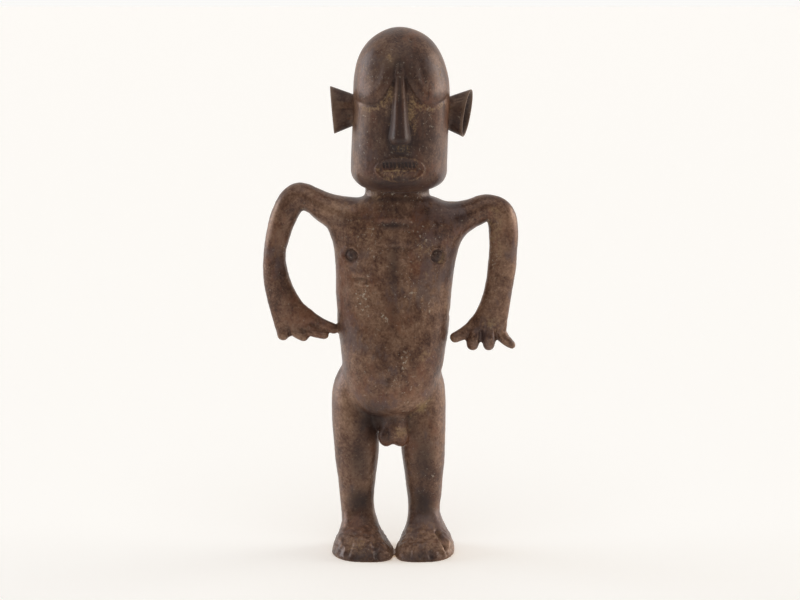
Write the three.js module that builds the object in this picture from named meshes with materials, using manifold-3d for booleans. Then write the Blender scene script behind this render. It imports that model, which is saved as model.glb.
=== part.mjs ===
// A standing male figure with its arms akimbo and funnel ears, cast in bronze by the lost-wax way as one
// piece. Millimetres, +Z up. The figure faces -Y, so its own right side is at -X.
// Each form of the wax model is skinned over rings of points, and all of them are joined into one solid.
import * as THREE from 'three';
import { mergeVertices, toCreasedNormals } from 'three/addons/utils/BufferGeometryUtils.js';
import Module from 'manifold-3d';

// Driving dimensions.
const HEIGHT = 250;
const MIDDLE = 1.73; // y of the figure's depth line
const SECTION = 2.25; // exponent of the rounded-square plan of trunk and head
const SOFT_SECTION = { neck: 2.1, nose: 2 };
const BELLY = { bottom: 66.8, full: 114, y: -7.3, side: 3.3, deep: 3.3 };
const SHOULDER = { low: 156, top: 170.6, neck: 15, round: 1.7 };
const HEAD = { x: 4.1, lean: 1.2, settle: 0.6, half: 22.7, front: 24.4, cheek: 23, nape: 17.5, back: 25.3 };
const SKULL = { chin: 172.4, jaw: 184, dome: 215.5 };
const FACE = 4.55; // x of the face's middle line
const JAW_ROUND = 2.45;
const CROWN = { rise: 2.75, round: 1.95 };
const BROW = { apart: 26.8, z: 226.4, inner: 10.6, outer: 8.8, high: 11.8, proud: 1.1 };
const LIPS = { z: 184.4, wide: 11.3, high: 5.8, proud: 0.8 };
const EAR = { wall: 1.3, y: 3.3, root: 18.7, hollow: 5, high: [6.2, 11.1], deep: [4.8, 7.4] };
const NIPPLE = { radius: 2.9, proud: 0.8 };
const NAVEL = { x: -1.2, z: 86.4, radius: 1.8, deep: 1.1 };
const TOES = { deep: 1.5, wide: 0.9, high: 13, plan: 2.8, behind: -10, outer: 0.032, inner: 0.11 };

const wasm = await Module();
wasm.setup();
const { clamp, degToRad, lerp, smoothstep } = THREE.MathUtils;
const rounded = (v, power) => Math.sign(v) * Math.abs(v) ** (2 / power);
const closing = (u, power) => (1 - clamp(u, 0, 1) ** power) ** (1 / power);
const span = (from, to, count) => Array.from({ length: count + 1 }, (_, i) => lerp(from, to, i / count));

// Closes a stack of rings into one skin: two triangles between neighbouring points, and a fan over each end.
function skin(rings) {
  const sides = rings[0].length;
  const points = rings.flat();
  for (const end of [rings[0], rings.at(-1)]) {
    points.push(end.reduce((sum, p) => sum.add(p), new THREE.Vector3()).divideScalar(sides));
  }
  const last = (rings.length - 1) * sides;
  const faces = [];
  for (let i = 0; i < sides; i++) {
    const j = (i + 1) % sides;
    for (let r = 0; r < last; r += sides) {
      faces.push(r + i, r + j, r + sides + j, r + i, r + sides + j, r + sides + i);
    }
    faces.push(points.length - 2, j, i, points.length - 1, last + i, last + j);
  }
  return new THREE.BufferGeometry().setFromPoints(points).setIndex(faces);
}

// A closed geometry as a solid that can be joined and cut, turned to face outward.
function solid(geometry) {
  const bare = new THREE.BufferGeometry();
  bare.setAttribute('position', geometry.getAttribute('position'));
  bare.setIndex(geometry.index);
  const merged = mergeVertices(bare, 1e-4);
  const vertProperties = merged.attributes.position.array;
  const triVerts = new Uint32Array(merged.index.array);
  const made = new wasm.Manifold(new wasm.Mesh({ numProp: 3, vertProperties, triVerts }));
  if (made.volume() > 0) return made;
  triVerts.reverse();
  return new wasm.Manifold(new wasm.Mesh({ numProp: 3, vertProperties, triVerts }));
}

const join = (...solids) => wasm.Manifold.union(solids.flat(2));

// A smooth line through rows of numbers, taken three at a time as points: it gives a row for t from 0 to 1.
function through(rows) {
  const curves = [];
  for (let k = 0; k < rows[0].length; k += 3) {
    const points = rows.map((row) => new THREE.Vector3(row[k], row[k + 1] ?? 0, row[k + 2] ?? 0));
    curves.push(new THREE.CatmullRomCurve3(points, false, 'catmullrom', 0.5));
  }
  return (t) => curves.flatMap((curve) => curve.getPoint(t).toArray());
}

const evenTurns = (sides) => span(0, 360, sides).slice(0, -1);

// A limb along a smooth path. Each station is [x, y, z, half width, half depth], and both ends are round.
function limb(stations, { sides = 12, steps = 2, caps = 2 } = {}) {
  const at = through(stations);
  const front = new THREE.Vector3(0, -1, 0);
  const near = 0.01;
  const ring = (t, grow, slide) => {
    const [x, y, z, wide, deep] = at(t);
    const before = new THREE.Vector3(...at(Math.max(t - near, 0)));
    const along = new THREE.Vector3(...at(Math.min(t + near, 1))).sub(before).normalize();
    const across = new THREE.Vector3().crossVectors(along, front).normalize();
    const depth = new THREE.Vector3().crossVectors(across, along);
    const centre = new THREE.Vector3(x, y, z).addScaledVector(along, slide * Math.min(wide, deep));
    return evenTurns(sides).map((turn) => centre.clone()
      .addScaledVector(across, -Math.cos(degToRad(turn)) * wide * grow)
      .addScaledVector(depth, Math.sin(degToRad(turn)) * deep * grow));
  };
  const turn = (k) => degToRad((90 * k) / (caps + 0.4));
  const cap = span(1, caps, caps - 1);
  return solid(skin([
    ...cap.toReversed().map((k) => ring(0, Math.cos(turn(k)), -Math.sin(turn(k)))),
    ...span(0, 1, (stations.length - 1) * steps).map((t) => ring(t, 1, 0)),
    ...cap.map((k) => ring(1, Math.cos(turn(k)), Math.sin(turn(k)))),
  ]));
}

// The plan of a level ring. Rows are [z, centre x, half width, front y, back y, y where it is widest].
function onRing([z, centre, half, front, back, widest], turn, power = SECTION) {
  const facing = rounded(Math.sin(degToRad(turn)), power);
  const y = widest + facing * (facing > 0 ? front - widest : widest - back);
  return new THREE.Vector3(centre + half * rounded(Math.cos(degToRad(turn)), power), y, z);
}

// A body stacked in level rings, each turned through the given angles with 0 at +X and 90 at the front.
function stack(rows, turns, power) {
  return solid(skin(rows.map((row) => turns.map((turn) => onRing(row, turn, power)))));
}

// The y of a stacked body's front at x.
function frontAt([, centre, half, front, , widest], x) {
  return widest + (front - widest) * closing(Math.abs(x - centre) / half, SECTION);
}

// A low round relief laid on a front surface, reaching left to -X, right to +X and high both ways in Z. The
// profile gives [share of that reach, how proud it stands] from the rim in, and the upper half sinks by sink.
function relief([x, z], [left, right, high], proud, profile, surface, { sides = 16, sink = 0 } = {}) {
  return solid(skin(profile.map(([share, rise]) => evenTurns(sides).map((turn) => {
    const out = share * Math.cos(degToRad(turn));
    const up = share * Math.sin(degToRad(turn));
    const [px, pz] = [x + out * (out < 0 ? left : right), z + up * high];
    return new THREE.Vector3(px, surface(px, pz) - rise * proud + sink * smoothstep(up, -0.4, 0.5), pz);
  }))));
}

function ball([x, y, z], [wide, deep, high], sides = 12) {
  const geometry = new THREE.SphereGeometry(1, sides, Math.round(sides * 0.6));
  return solid(geometry.rotateX(Math.PI / 2).scale(wide, deep, high).translate(x, y, z));
}

// Trunk: the belly closes below as an egg that hangs in front of the thighs, and the shoulders close above as
// a level shelf. Rows are [z, centre x, half width, front y, back y] before both ends are rounded off.
const trunkLine = through([
  [66.8, -0.9, 26, -20.9, 13.6], [90, 1.1, 24.8, -20.4, 13.9], [114, 1.4, 26.9, -16.9, 14.9],
  [133, 1.9, 27.9, -14.7, 17.1], [147, 2.9, 30, -13.7, 17.9], [156, 3.9, 33.4, -12.7, 17.5],
  [170.6, 3.3, 30.4, -10.4, 15.3],
]);

function trunkRow(t) {
  const [z, centre, wide, ahead, behind] = trunkLine(t);
  const hang = (BELLY.full - z) / (BELLY.full - BELLY.bottom);
  const shelf = closing((z - SHOULDER.low) / (SHOULDER.top - SHOULDER.low), SHOULDER.round);
  const half = z > SHOULDER.low ? lerp(SHOULDER.neck, wide, shelf) : wide * closing(hang, BELLY.side);
  const [front, back] = [ahead, behind].map((y) => lerp(BELLY.y, y, closing(hang, BELLY.deep)));
  return [z, centre, half, front, back, Math.min(MIDDLE, back)];
}

function trunk() {
  const ends = [0.004, 0.012, 0.028, 0.055, 0.09, 0.125, 0.95, 0.97, 0.985, 0.997];
  return stack([...ends, ...span(1 / 6, 0.93, 13)].sort((a, b) => a - b).map(trunkRow), evenTurns(24));
}

// The y of the trunk's front at x and z.
function chest(x, z) {
  const t = span(0, 1, 200).find((at) => trunkLine(at)[0] > z);
  return frontAt(trunkRow(t), x);
}

function neck() {
  return stack([
    [158, 3.2, 14.4, -10.6, 14.8, MIDDLE], [172, 3.2, 15.2, -9.9, 14.9, MIDDLE],
    [182, 3.5, 15, -10.2, 15.1, MIDDLE],
  ], evenTurns(20), SOFT_SECTION.neck);
}

// The head's plan at height z: a thimble with a domed crown, a brow over the cheeks, and a rounded jaw.
function headRow(z) {
  const crown = closing((z - SKULL.dome) / (HEIGHT - SKULL.dome), CROWN.rise) ** (CROWN.rise / CROWN.round);
  const jaw = closing((SKULL.jaw - z) / (SKULL.jaw - SKULL.chin), JAW_ROUND);
  const grow = Math.min(crown, jaw);
  const front = lerp(HEAD.cheek, HEAD.front, smoothstep(z, 213, 220));
  const back = lerp(HEAD.nape, HEAD.back, smoothstep(z, SKULL.chin, 212));
  const lean = HEAD.lean * smoothstep(z, 186, 216) - HEAD.settle * smoothstep(z, 218, 240);
  return [z, HEAD.x + lean, HEAD.half * grow, MIDDLE - front * grow, MIDDLE + back * grow, MIDDLE];
}
const face = (x, z) => frontAt(headRow(z), x);

function head() {
  const down = (a) => SKULL.jaw - (SKULL.jaw - SKULL.chin) * rounded(Math.cos(degToRad(a)), JAW_ROUND);
  const up = (a) => SKULL.dome + (HEIGHT - SKULL.dome) * rounded(Math.sin(degToRad(a)), CROWN.rise);
  const wall = [186, 191, 197, 204, 210, 213, 215, 217];
  const rows = [...span(10, 75, 5).map(down), ...wall, ...span(14, 83, 7).map(up), HEIGHT - 0.001];
  return stack(rows.map(headRow), evenTurns(26));
}

// Brow lobes that end in heavy lids, the long straight nose, and the lips as a low oval ring. Rows of the
// nose are [z, half width, how proud it stands].
function features() {
  const lobe = [[0.99, -3], [1, -0.4], [0.97, 0.5], [0.88, 0.9], [0.6, 1], [0.2, 1]];
  const sunk = { sink: 2 * BROW.proud };
  const [near, far] = [FACE - BROW.apart / 2, FACE + BROW.apart / 2];
  const nose = stack([
    [231, 1.6, 1.1], [227, 2.4, 2], [218, 3.3, 3.1], [208, 4.1, 4.5], [201, 4.9, 5.5], [198, 5.1, 5.7],
    [196.4, 4.4, 4],
  ].map(([z, half, proud]) => {
    const surface = face(FACE, z);
    return [z, FACE - 0.1, half, surface - proud, surface + 5, surface + 0.6];
  }), evenTurns(12), SOFT_SECTION.nose);
  const ring = [[1, -3], [1.02, -0.2], [0.97, 1], [0.86, 1], [0.78, 0.2], [0.3, 0.2]];
  return [
    relief([near, BROW.z], [BROW.outer, BROW.inner, BROW.high], BROW.proud, lobe, face, sunk),
    relief([far, BROW.z], [BROW.inner, BROW.outer, BROW.high], BROW.proud, lobe, face, sunk),
    relief([FACE, LIPS.z], [LIPS.wide, LIPS.wide, LIPS.high], LIPS.proud, ring, face),
    nose,
  ];
}

// One ear: a flattened funnel along X, hollow from its mouth, which leans out above and turns to the front.
function ear({ side, height, reach, lean, turn }) {
  const funnel = (from, to, shrink) => skin([0, 0.4, 0.75, 1].map((t) => evenTurns(14).map((angle) => {
    const out = (lerp(from, to, t) - EAR.root) / (reach - EAR.root);
    const high = (lerp(...EAR.high, out) - shrink) * Math.sin(degToRad(angle));
    const deep = (lerp(...EAR.deep, out) - shrink) * Math.cos(degToRad(angle));
    const slant = out * (high * lean + deep * turn);
    return new THREE.Vector3(side * (lerp(from, to, t) + slant), EAR.y + deep, height + high);
  })));
  const hollow = solid(funnel(EAR.root + EAR.hollow, reach + 1, EAR.wall));
  return solid(funnel(EAR.root, reach, 0)).subtract(hollow).translate([FACE, 0, 0]);
}

// Arms: level out from the shoulder, over a hump, then down to a palm pressed flat.
function arms() {
  return [
    limb([
      [-7.5, 2.7, 159, 9.6, 13], [-26.9, 2.5, 163.4, 8.2, 10.3], [-36, 2, 168.3, 6.3, 7.8],
      [-43.8, 1.7, 170.2, 6.7, 6.5], [-50.2, 1.2, 161.8, 6.3, 5.9], [-54.6, 0.3, 145, 5.3, 5.4],
      [-53.8, -0.4, 130, 6.3, 5.2], [-48.8, -0.8, 116.4, 8.5, 4.5], [-44.7, -1, 109.6, 10.5, 3.8],
    ]),
    limb([
      [10.5, 2.7, 157.6, 9.6, 13], [30.3, 2.5, 159.6, 8.6, 10.3], [38.5, 2, 162.6, 7, 7.8],
      [46.3, 1.7, 165, 6.4, 6.5], [52.8, 1.3, 160, 7, 6], [53.4, 0.4, 143, 6.7, 5.5],
      [51.4, -0.3, 126.5, 6.7, 5.2], [48.2, -0.8, 114, 8.1, 4.5], [45.8, -1, 107.4, 10, 3.8],
    ]),
  ];
}

// Digits, four to a palm: root, knuckle and tip, with the half thickness at the root and the tip. Each hand
// has one that points in at the waist.
function fingers() {
  const digits = [
    [[-51.4, -0.9, 110], [-51.4, -1.3, 106.8], [-51, -1.9, 104.8], 3, 2.7],
    [[-46.4, -0.9, 109], [-44.6, -2.5, 106.2], [-41.2, -3.1, 104.3], 3, 2.5],
    [[-41.4, -0.9, 109], [-37.4, -2.9, 106.6], [-31.4, -3.1, 105], 2.7, 2.2],
    [[-43.2, -0.3, 116.8], [-35, -0.6, 111.2], [-27, -1.1, 107.6], 3.3, 2.4],
    [[41.3, -0.7, 109.6], [35.8, -1.1, 105.9], [30.8, -1.7, 103.4], 3.5, 2.6],
    [[40.8, -0.9, 107], [39.5, -2.9, 103.2], [39.1, -2.9, 99.9], 4.1, 3],
    [[46.7, -0.9, 107], [46.9, -2.9, 103], [46.7, -2.9, 99.8], 4, 3],
    [[51, -0.7, 107], [54.2, -1.1, 102.8], [57.8, -1.3, 99.6], 3.6, 2],
  ];
  return digits.map(([root, knuckle, tip, thick, thin]) => limb([
    [...root, thick, thick], [...knuckle, (thick + thin) / 2, (thick + thin) / 2], [...tip, thin, thin],
  ], { sides: 8, steps: 1 }));
}

// Legs, from the buttocks to the ankles. Rows are [z, centre x, y, half width, half depth].
function legs() {
  const down = (rows) => limb(rows.map(([z, x, y, wide, deep]) => [x, y, z, wide, deep]), { sides: 14 });
  return [
    down([
      [93, -12.5, 4.6, 7, 7], [82, -15.7, 4.2, 10.7, 11.6], [72, -16.7, 3.6, 11.7, 12.4],
      [60, -16.5, 2, 11.3, 12], [46, -16.2, 1.2, 10.4, 11], [31, -16.3, 2.3, 8.8, 9.5],
      [15, -15.7, 2.1, 8, 8.4],
    ]),
    down([
      [93, 12.5, 4.6, 7.2, 7], [82, 14.5, 4.2, 10.9, 11.6], [72, 15.1, 3.6, 11.6, 12.4],
      [60, 15.3, 2, 11.1, 12], [46, 15.8, 1.2, 10.2, 11], [31, 16.2, 2.3, 8.8, 9.5],
      [15, 16.1, 2.1, 7.3, 8],
    ]),
  ];
}

// A splayed foot in level rings, from the ankle to the flat sole. Its front edge falls back at the little toe
// and comes forward at the big toe, and grooves [x at the sole, x at the instep] part the toes.
function foot(rows, grooves, side) {
  const at = through(rows);
  const turns = [...span(20, 160.4, 26), ...span(175, 355, 9)];
  return solid(skin(span(0, 1, 10).map((t) => {
    const row = at(t);
    const low = clamp(1 - row[0] / TOES.high, 0, 1);
    return turns.map((turn) => {
      const point = onRing(row, turn, lerp(SECTION, TOES.plan, low));
      const out = side * (point.x - row[1]);
      const swing = out > 0 ? TOES.outer * out ** 2 : TOES.inner * out;
      if (point.y < row[5]) point.y += swing * low;
      for (const [sole, instep] of grooves) {
        const off = (point.x - lerp(instep, sole, low)) / TOES.wide;
        if (point.y < TOES.behind) point.y += TOES.deep * Math.exp(-off * off) * Math.sqrt(low);
      }
      return point;
    });
  })));
}

function feet() {
  return [
    foot([
      [20, -15.9, 7.7, -5.7, 10.3, 1.7], [14, -14.8, 8.6, -10.2, 11.2, -0.8],
      [9.5, -14.5, 10.3, -16.9, 13.1, -6.2], [5.5, -14, 12.6, -22.2, 14.2, -9.8],
      [1.6, -13.4, 14.7, -25.6, 13.9, -11.3], [0, -13.4, 14.4, -25.3, 12.7, -11.3],
    ], [[-6.3, -8.2], [-11.9, -11.6], [-16.5, -14.6], [-21.2, -17.4]], -1),
    foot([
      [20, 16.1, 7.2, -5.7, 9.9, 1.7], [14, 16.5, 8.5, -10.2, 11, -0.8],
      [9.5, 16.9, 10.7, -16.9, 13.1, -6.2], [5.5, 17.1, 12.7, -22.2, 14.2, -9.8],
      [1.6, 16.4, 14, -25.6, 13.9, -11.3], [0, 16.3, 13.6, -25.3, 12.7, -11.3],
    ], [[8.7, 10.8], [13.6, 14.1], [19.4, 18], [27.6, 21.4]], 1),
  ];
}

// The pelvis between the thighs, the buttocks behind it and the small forms in front of it.
function loins() {
  return [
    ball([0, 3.6, 80.5], [21, 12, 20], 18),
    ball([-10.8, 5.5, 77.6], [12.4, 13.2, 16.5], 14),
    ball([10.1, 5.5, 77.2], [12.2, 13.2, 16.5], 14),
    ball([0, -4, 66], [9, 6, 9], 8),
    ball([-2, -9.8, 57.2], [4.2, 4.4, 5.2], 10),
    ball([4.6, -8.8, 57], [4.4, 4.4, 5.3], 10),
    limb([
      [2.4, -7, 72, 6, 4.6], [2, -7.8, 65, 6.4, 4.6], [1.2, -8.2, 58, 6.4, 4.2],
    ], { sides: 10, steps: 1 }),
    limb([
      [2.6, -9.6, 69, 3, 3], [2.3, -11.6, 63, 2.8, 2.7], [1.9, -12, 57, 2.7, 2.5],
    ], { sides: 8, steps: 1 }),
  ];
}

function nipples() {
  const disc = [[0.9, -3], [1, -0.2], [0.88, 1], [0.3, 1]];
  const reach = Array(3).fill(NIPPLE.radius);
  const places = [[-18.6, 143.8], [22.4, 143.4]];
  return places.map((at) => relief(at, reach, NIPPLE.proud, disc, chest, { sides: 12 }));
}

function figure() {
  const ears = [
    ear({ side: -1, height: 211.2, reach: 31.5, lean: 0.08, turn: 0.06 }),
    ear({ side: 1, height: 209.7, reach: 31.3, lean: 0.16, turn: 0.25 }),
  ];
  const body = [trunk(), neck(), arms(), fingers(), loins(), legs(), feet(), nipples()];
  const wax = join(body, head(), features(), ears);
  const pit = [[1, -2.5], [0.9, 0], [0.6, 1]];
  const reach = Array(3).fill(NAVEL.radius);
  return wax.subtract(relief([NAVEL.x, NAVEL.z], reach, -NAVEL.deep, pit, chest, { sides: 10 }));
}

// The cast piece as a mesh, moved so that the middle of its footprint box is at the origin.
function cast() {
  const { vertProperties, triVerts, numProp, numVert } = figure().getMesh();
  const places = new Float32Array(numVert * 3);
  for (let i = 0; i < numVert; i++) places.set(vertProperties.subarray(i * numProp, i * numProp + 3), i * 3);
  const geometry = new THREE.BufferGeometry();
  geometry.setAttribute('position', new THREE.BufferAttribute(places, 3));
  geometry.setIndex(new THREE.BufferAttribute(triVerts, 1));
  geometry.computeBoundingBox();
  const middle = geometry.boundingBox.getCenter(new THREE.Vector3());
  return geometry.translate(-middle.x, -middle.y, 0);
}

const bronze = new THREE.MeshStandardMaterial({ color: 0x57473d, roughness: 0.5, metalness: 0.55 });
const piece = new THREE.Mesh(toCreasedNormals(cast(), degToRad(40)), bronze);
piece.name = 'figure';
const part = new THREE.Group();
part.add(piece);

export default part;
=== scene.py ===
"""A standing bronze figure cast in one piece by the lost-wax way, on a plain pale studio floor."""

import bpy
import numpy as np
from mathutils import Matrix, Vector


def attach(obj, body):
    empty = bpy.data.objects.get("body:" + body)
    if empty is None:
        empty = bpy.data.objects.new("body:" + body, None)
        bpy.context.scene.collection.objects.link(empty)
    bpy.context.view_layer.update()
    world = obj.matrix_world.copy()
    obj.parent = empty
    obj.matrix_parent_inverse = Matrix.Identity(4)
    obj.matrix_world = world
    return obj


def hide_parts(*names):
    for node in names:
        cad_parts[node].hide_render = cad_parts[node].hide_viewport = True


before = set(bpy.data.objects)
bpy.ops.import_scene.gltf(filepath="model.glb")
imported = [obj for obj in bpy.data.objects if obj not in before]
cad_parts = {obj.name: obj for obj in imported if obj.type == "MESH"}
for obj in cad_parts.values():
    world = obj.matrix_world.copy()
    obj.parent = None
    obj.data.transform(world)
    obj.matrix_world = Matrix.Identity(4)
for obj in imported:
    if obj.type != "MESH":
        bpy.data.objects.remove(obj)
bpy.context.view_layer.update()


# Trunk and neck
# The belly is an egg of wax that hangs in front of the thighs, and the shoulders are a level shelf that the
# short round neck stands on. Both are rings of wax laid one on the other, in millimetres, with +Z up.

MM = 0.001
MIDDLE = 1.73                    # y of the figure's depth line
BELLY = dict(bottom=66.8, full=114.0, y=-7.3, side=3.3, deep=3.3)
SHOULDER = dict(low=156.0, top=170.6, neck=15.0, round=1.7)
TRUNK = [                        # height, centre x, half width, front y, back y
    (66.8, -0.9, 26, -20.9, 13.6), (90, 1.1, 24.8, -20.4, 13.9), (114, 1.4, 26.9, -16.9, 14.9),
    (133, 1.9, 27.9, -14.7, 17.1), (147, 2.9, 30, -13.7, 17.9), (156, 3.9, 33.4, -12.7, 17.5),
    (170.6, 3.3, 30.4, -10.4, 15.3),
]
NECK = [(158, 3.2, 14.4, -10.6, 14.8), (172, 3.2, 15.2, -9.9, 14.9), (182, 3.5, 15.0, -10.2, 15.1)]


def through(rows, count):
    """Rows of numbers joined by Catmull-Rom cubics: a span's slope at each row is half the step between the
    rows on either side of it."""
    rows = np.array(rows, float)
    wide = np.vstack([2 * rows[0] - rows[1], rows, 2 * rows[-1] - rows[-2]])
    t = np.linspace(0, len(rows) - 1, count)
    k = np.minimum(t.astype(int), len(rows) - 2)
    f = (t - k)[:, None]
    a, b, c, d = (wide[k + i] for i in range(4))
    return 0.5 * (2 * b + (c - a) * f + (2 * a - 5 * b + 4 * c - d) * f ** 2 + (3 * (b - c) + d - a) * f ** 3)


def soft(v, low, high):
    """The cubic step from 0 at low to 1 at high."""
    t = np.clip((v - low) / (high - low), 0, 1)
    return t * t * (3 - 2 * t)


def rounded(v, power):
    """A sine or cosine raised so that a circle becomes a rounded square of the given power."""
    return np.sign(v) * np.abs(v) ** (2 / power)


def closing(u, power):
    """The shrinking of a ring as u goes from 0 to 1 along a rounded end: the power-th root of 1 - u to it."""
    return np.maximum(1 - np.clip(u, 0, 1) ** power, 0) ** (1 / power)


def level_rings(z, centre, half, front, back, widest, turns, power=2.25):
    """Level rounded-square rings, one for each height: half wide about centre, from front to back, with the
    widest place at the given y. Turns are radians, 0 at +X and a quarter turn at the front."""
    facing = rounded(np.sin(turns), power)[None, :]
    z, centre, half, front, back, widest = (np.broadcast_to(v, z.shape)[:, None] for v in
                                            (z, centre, half, front, back, widest))
    y = widest + np.where(facing > 0, facing * (front - widest), facing * (widest - back))
    x = centre + half * rounded(np.cos(turns), power)[None, :]
    return np.stack([x, y, np.broadcast_to(z, x.shape)], -1)


def skin(rings):
    """A stack of rings closed into one skin: squares between neighbours and a fan over each end."""
    count, sides = rings.shape[:2]
    points = np.vstack([rings.reshape(-1, 3), rings[0].mean(0), rings[-1].mean(0)])
    at = np.arange(count * sides).reshape(count, sides)
    on = np.roll(at, -1, 1)
    squares = np.stack([at[:-1], on[:-1], on[1:], at[1:]], -1).reshape(-1, 4)
    low = np.stack([on[0], at[0], np.full(sides, count * sides)], -1)
    high = np.stack([at[-1], on[-1], np.full(sides, count * sides + 1)], -1)
    tri = np.vstack([squares[:, [0, 1, 2]], squares[:, [0, 2, 3]], low, high])
    corner = points[tri]
    volume = np.einsum("ij,ij->i", corner[:, 0], np.cross(corner[:, 1], corner[:, 2])).sum()
    return points, (tri if volume > 0 else tri[:, ::-1])


def turns(sides):
    """Even angles once round."""
    return np.linspace(0, 2 * np.pi, sides, endpoint=False)


def trunk():
    """Level rings whose width closes below as an egg and above as a shelf that narrows to the neck."""
    z, centre, half, front, back = through(TRUNK, 150).T
    hang = (BELLY["full"] - z) / (BELLY["full"] - BELLY["bottom"])
    shelf = (z - SHOULDER["low"]) / (SHOULDER["top"] - SHOULDER["low"])
    half = half * closing(hang, BELLY["side"])
    root = SHOULDER["neck"]
    half = np.where(shelf > 0, root + (half - root) * closing(shelf, SHOULDER["round"]), half)
    front, back = (BELLY["y"] + (y - BELLY["y"]) * closing(hang, BELLY["deep"]) for y in (front, back))
    return skin(level_rings(z, centre, half, front, back, np.minimum(MIDDLE, back), turns(120)))


def neck():
    """Level rings, nearly round."""
    z, centre, half, front, back = through(NECK, 30).T
    return skin(level_rings(z, centre, half, front, back, MIDDLE, turns(90), 2.1))


def ball(x, y, z, wide, deep, high):
    """An egg: a sphere stretched to the three half sizes."""
    fall = np.linspace(0, np.pi, 42)[1:-1, None]
    around = turns(60)[None, :]
    return skin(np.stack([x + wide * np.sin(fall) * np.cos(around), y + deep * np.sin(fall) * np.sin(around),
                          z + high * np.cos(fall) * np.ones_like(around)], -1))


def loins():
    """The pelvis between the thighs, the buttocks behind it and the small forms in front of it."""
    return [
        ball(0, 3.6, 80.5, 21, 12, 20), ball(-10.8, 5.5, 77.6, 12.4, 13.2, 16.5),
        ball(10.1, 5.5, 77.2, 12.2, 13.2, 16.5), ball(0, -4, 66, 9, 6, 9),
        ball(-2, -9.8, 57.2, 4.2, 4.4, 5.2), ball(4.6, -8.8, 57, 4.4, 4.4, 5.3),
        limb([(2.4, -7, 72, 6, 4.6), (2, -7.8, 65, 6.4, 4.6), (1.2, -8.2, 58, 6.4, 4.2)]),
        limb([(2.6, -9.6, 69, 3, 3), (2.3, -11.6, 63, 2.8, 2.7), (1.9, -12, 57, 2.7, 2.5)]),
    ]


# Arms and hands
# Each arm is a rope of wax that runs level out of the shoulder, over a hump and down, and is pressed flat
# into a palm. Four short digits are laid on each palm: stations are x, y, z, half width and half depth.

ARMS = [
    [(-7.5, 2.7, 159, 9.6, 13), (-26.9, 2.5, 163.4, 8.2, 10.3), (-36, 2, 168.3, 6.3, 7.8),
     (-43.8, 1.7, 170.2, 6.7, 6.5), (-50.2, 1.2, 161.8, 6.3, 5.9), (-54.6, 0.3, 145, 5.3, 5.4),
     (-53.8, -0.4, 130, 6.3, 5.2), (-48.8, -0.8, 116.4, 8.5, 4.5), (-44.7, -1, 109.6, 10.5, 3.8)],
    [(10.5, 2.7, 157.6, 9.6, 13), (30.3, 2.5, 159.6, 8.6, 10.3), (38.5, 2, 162.6, 7, 7.8),
     (46.3, 1.7, 165, 6.4, 6.5), (52.8, 1.3, 160, 7, 6), (53.4, 0.4, 143, 6.7, 5.5),
     (51.4, -0.3, 126.5, 6.7, 5.2), (48.2, -0.8, 114, 8.1, 4.5), (45.8, -1, 107.4, 10, 3.8)],
]
DIGITS = [                       # three points, then the half thickness at the root and at the tip
    ((-51.4, -0.9, 110), (-51.4, -1.3, 106.8), (-51, -1.9, 104.8), 3, 2.7),
    ((-46.4, -0.9, 109), (-44.6, -2.5, 106.2), (-41.2, -3.1, 104.3), 3, 2.5),
    ((-41.4, -0.9, 109), (-37.4, -2.9, 106.6), (-31.4, -3.1, 105), 2.7, 2.2),
    ((-43.2, -0.3, 116.8), (-35, -0.6, 111.2), (-27, -1.1, 107.6), 3.3, 2.4),
    ((41.3, -0.7, 109.6), (35.8, -1.1, 105.9), (30.8, -1.7, 103.4), 3.5, 2.6),
    ((40.8, -0.9, 107), (39.5, -2.9, 103.2), (39.1, -2.9, 99.9), 4.1, 3),
    ((46.7, -0.9, 107), (46.9, -2.9, 103), (46.7, -2.9, 99.8), 4, 3),
    ((51, -0.7, 107), (54.2, -1.1, 102.8), (57.8, -1.3, 99.6), 3.6, 2),
]


def limb(stations, sides=64, step=0.8):
    """A limb along a smooth path: rings square to the path, as wide and deep as its stations say, with their
    depth towards -Y, and an elliptical cap as long as the ring's smaller half size over each end."""
    rough = np.array(stations, float)
    length = np.linalg.norm(np.diff(rough[:, :3], axis=0), axis=1).sum()
    rows = through(stations, int(length / step) + 4)
    cap = np.linspace(0, np.pi / 2, 9)[1:-1]
    pick = np.concatenate([np.zeros(7, int), np.arange(len(rows)), np.full(7, len(rows) - 1)])
    grow = np.concatenate([np.cos(cap[::-1]), np.ones(len(rows)), np.cos(cap)])[:, None]
    slide = np.concatenate([-np.sin(cap[::-1]), np.zeros(len(rows)), np.sin(cap)])[:, None]
    path = np.gradient(rows[:, :3], axis=0)
    path /= np.linalg.norm(path, axis=1, keepdims=True)
    across = np.cross(path, [0, -1.0, 0])
    across /= np.linalg.norm(across, axis=1, keepdims=True)
    depth = np.cross(across, path)
    wide, deep = rows[pick, 3:4] * grow, rows[pick, 4:5] * grow
    middle = rows[pick, :3] + path[pick] * slide * np.minimum(rows[pick, 3:4], rows[pick, 4:5])
    around = turns(sides)
    rings = (middle[:, None] - across[pick][:, None] * (wide * np.cos(around))[..., None]
             + depth[pick][:, None] * (deep * np.sin(around))[..., None])
    return skin(rings)


def digit(root, knuckle, tip, thick, thin):
    """A short limb that thins evenly from its root to its tip."""
    halves = np.linspace(thick, thin, 3)
    stations = [(*point, half, half) for point, half in zip((root, knuckle, tip), halves)]
    return limb(stations, sides=32, step=0.5)


# Legs and feet
# The legs are plain round columns of wax, and each foot is a pad that splays forward from the ankle to a flat
# sole. Rows of a leg are height, centre x, y, half width and half depth, and of a foot height, centre x, half
# width, front y, back y and the y where it is widest.

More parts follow.
